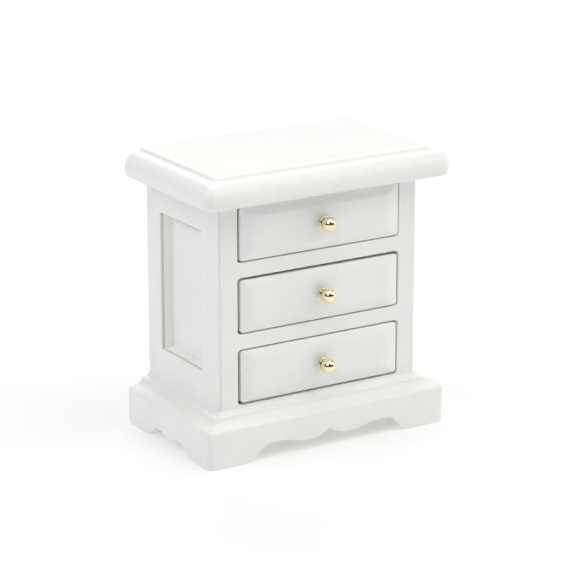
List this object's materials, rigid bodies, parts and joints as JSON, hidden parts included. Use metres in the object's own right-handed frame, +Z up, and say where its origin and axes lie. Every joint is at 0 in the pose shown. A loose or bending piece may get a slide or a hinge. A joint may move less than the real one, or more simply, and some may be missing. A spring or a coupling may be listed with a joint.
{
  "type": "miniature chest of drawers",
  "caption": "Small white-painted bedside chest for a dolls' house: moulded top, panelled sides, shaped plinth and sliding drawers with brass ball knobs.",
  "frame": {"origin": "middle of the overall box in plan, on the surface that the feet stand on", "axes": "+X across the chest towards its right side as seen from the front, +Y from the drawer fronts to the back, +Z up"},
  "size_m": [0.0542, 0.0324, 0.0557],
  "materials": {
    "white_paint": "white satin paint over wood",
    "bare_wood": "sanded, unpainted",
    "knob_brass": "polished"
  },
  "bodies": {
    "carcass": {"top_board": "white_paint", "front_frame": "white_paint", "side_frame_left": "white_paint", "side_frame_right": "white_paint", "side_board_left": "white_paint", "side_board_right": "white_paint", "panel_bead_left": "white_paint", "panel_bead_right": "white_paint", "back_panel": "white_paint", "shelf_upper": "bare_wood", "shelf_lower": "bare_wood", "carcass_floor": "bare_wood", "base_moulding_front": "white_paint", "base_moulding_left": "white_paint", "base_moulding_right": "white_paint", "apron_front": "white_paint", "apron_left": "white_paint", "apron_right": "white_paint", "plinth_back_rail": "white_paint", "corner_blocks": "bare_wood"},
    "top_drawer": {"top_drawer_front": "white_paint", "top_drawer_side_left": "bare_wood", "top_drawer_side_right": "bare_wood", "top_drawer_back": "bare_wood", "top_drawer_bottom": "bare_wood", "top_drawer_knob": "knob_brass"},
    "middle_drawer": {"middle_drawer_front": "white_paint", "middle_drawer_side_left": "bare_wood", "middle_drawer_side_right": "bare_wood", "middle_drawer_back": "bare_wood", "middle_drawer_bottom": "bare_wood", "middle_drawer_knob": "knob_brass"},
    "bottom_drawer": {"bottom_drawer_front": "white_paint", "bottom_drawer_side_left": "bare_wood", "bottom_drawer_side_right": "bare_wood", "bottom_drawer_back": "bare_wood", "bottom_drawer_bottom": "bare_wood", "bottom_drawer_knob": "knob_brass"}
  },
  "joints": [
    {"name": "top_drawer_slide", "type": "slide", "parent": "carcass", "child": "top_drawer", "axis": [0, -1, 0], "range_m": [0, 0.015]},
    {"name": "middle_drawer_slide", "type": "slide", "parent": "carcass", "child": "middle_drawer", "axis": [0, -1, 0], "range_m": [0, 0.015]},
    {"name": "bottom_drawer_slide", "type": "slide", "parent": "carcass", "child": "bottom_drawer", "axis": [0, -1, 0], "range_m": [0, 0.015]}
  ]
}
